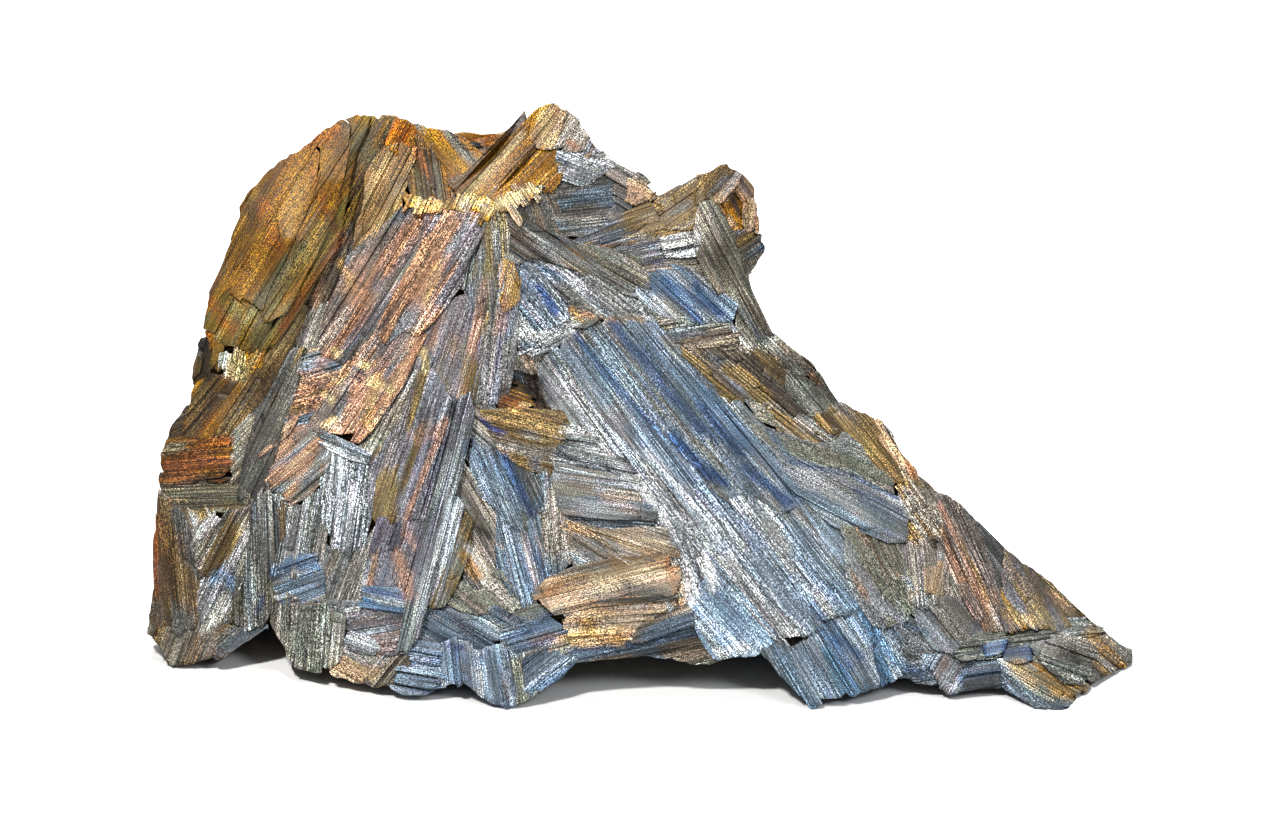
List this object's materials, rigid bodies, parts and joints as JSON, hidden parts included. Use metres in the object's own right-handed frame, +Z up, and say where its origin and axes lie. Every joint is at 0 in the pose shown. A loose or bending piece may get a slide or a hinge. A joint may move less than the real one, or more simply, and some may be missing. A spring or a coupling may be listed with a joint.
{
  "type": "kyanite blade cluster",
  "caption": "Natural mass of intergrown flat-bladed crystals fanning down from a crest, broken flat underneath so that it stands by itself as a display piece.",
  "frame": {"origin": "middle of the bounding box in plan, on the plane of the flat broken base", "axes": "+X along the longest side, to the right of someone facing the best side; the best side faces -Y; +Z up from the base"},
  "size_m": [0.1498, 0.0716, 0.0761],
  "materials": {
    "kyanite_stone": "bladed kyanite with a pearly, finely striated cleavage: blue-grey and silver in the middle, copper and rust-brown iron staining to the left"
  },
  "bodies": {
    "root": {"kyanite_cluster": "kyanite_stone"}
  },
  "joints": []
}
